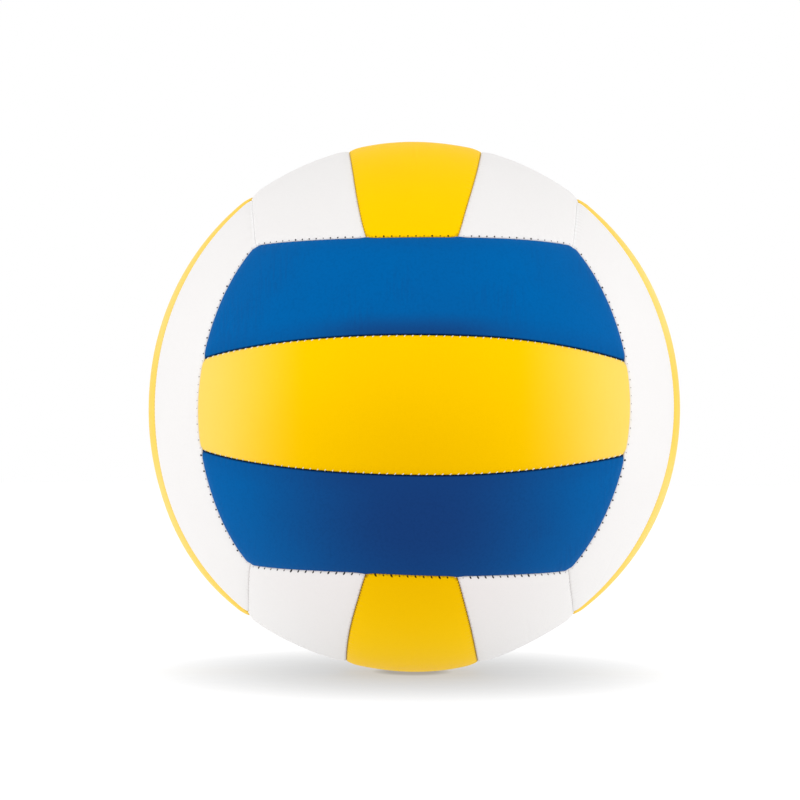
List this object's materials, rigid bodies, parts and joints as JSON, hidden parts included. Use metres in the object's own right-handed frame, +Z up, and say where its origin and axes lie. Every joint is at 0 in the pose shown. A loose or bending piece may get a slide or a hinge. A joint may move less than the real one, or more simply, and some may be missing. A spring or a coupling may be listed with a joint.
{
  "type": "volleyball",
  "caption": "Stitched volleyball: blue, yellow and white panels sewn over foam pads and a rubber bladder, with a needle valve.",
  "frame": {"origin": "centre of the ball", "axes": "+Z up, -Y towards the viewer of the blue face, +Y out along the valve's needle guide"},
  "size_m": [0.21, 0.2099, 0.21],
  "materials": {
    "cover_blue": "satin",
    "cover_yellow": "satin",
    "cover_white": "satin",
    "foam": "matte",
    "thread": "matte",
    "bladder_rubber": "satin",
    "canvas": "matte",
    "seat_rubber": "matte",
    "plug_rubber": "satin"
  },
  "bodies": {
    "root": {"cover_front_lower": "cover_blue", "cover_front_middle": "cover_yellow", "cover_front_upper": "cover_blue", "cover_back_lower": "cover_blue", "cover_back_middle": "cover_yellow", "cover_back_upper": "cover_blue", "cover_top_right": "cover_white", "cover_top_middle": "cover_yellow", "cover_top_left": "cover_white", "cover_bottom_left": "cover_white", "cover_bottom_middle": "cover_yellow", "cover_bottom_right": "cover_white", "cover_left_front": "cover_white", "cover_left_middle": "cover_yellow", "cover_left_back": "cover_white", "cover_right_back": "cover_white", "cover_right_middle": "cover_yellow", "cover_right_front": "cover_white", "pad_front_lower": "foam", "pad_front_middle": "foam", "pad_front_upper": "foam", "pad_back_lower": "foam", "pad_back_middle": "foam", "pad_back_upper": "foam", "pad_top_right": "foam", "pad_top_middle": "foam", "pad_top_left": "foam", "pad_bottom_left": "foam", "pad_bottom_middle": "foam", "pad_bottom_right": "foam", "pad_left_front": "foam", "pad_left_middle": "foam", "pad_left_back": "foam", "pad_right_back": "foam", "pad_right_middle": "foam", "pad_right_front": "foam", "thread_front_right": "thread", "thread_front_left": "thread", "thread_back_left": "thread", "thread_back_right": "thread", "thread_top_back": "thread", "thread_top_front": "thread", "thread_bottom_back": "thread", "thread_bottom_front": "thread", "thread_left_top": "thread", "thread_left_bottom": "thread", "thread_right_top": "thread", "thread_right_bottom": "thread", "thread_front_strips": "thread", "thread_back_strips": "thread", "thread_top_strips": "thread", "thread_bottom_strips": "thread", "thread_left_strips": "thread", "thread_right_strips": "thread", "bladder": "bladder_rubber", "valve_ring": "canvas", "valve_patch": "canvas", "valve_seat": "seat_rubber", "valve_plug": "plug_rubber"}
  },
  "joints": []
}
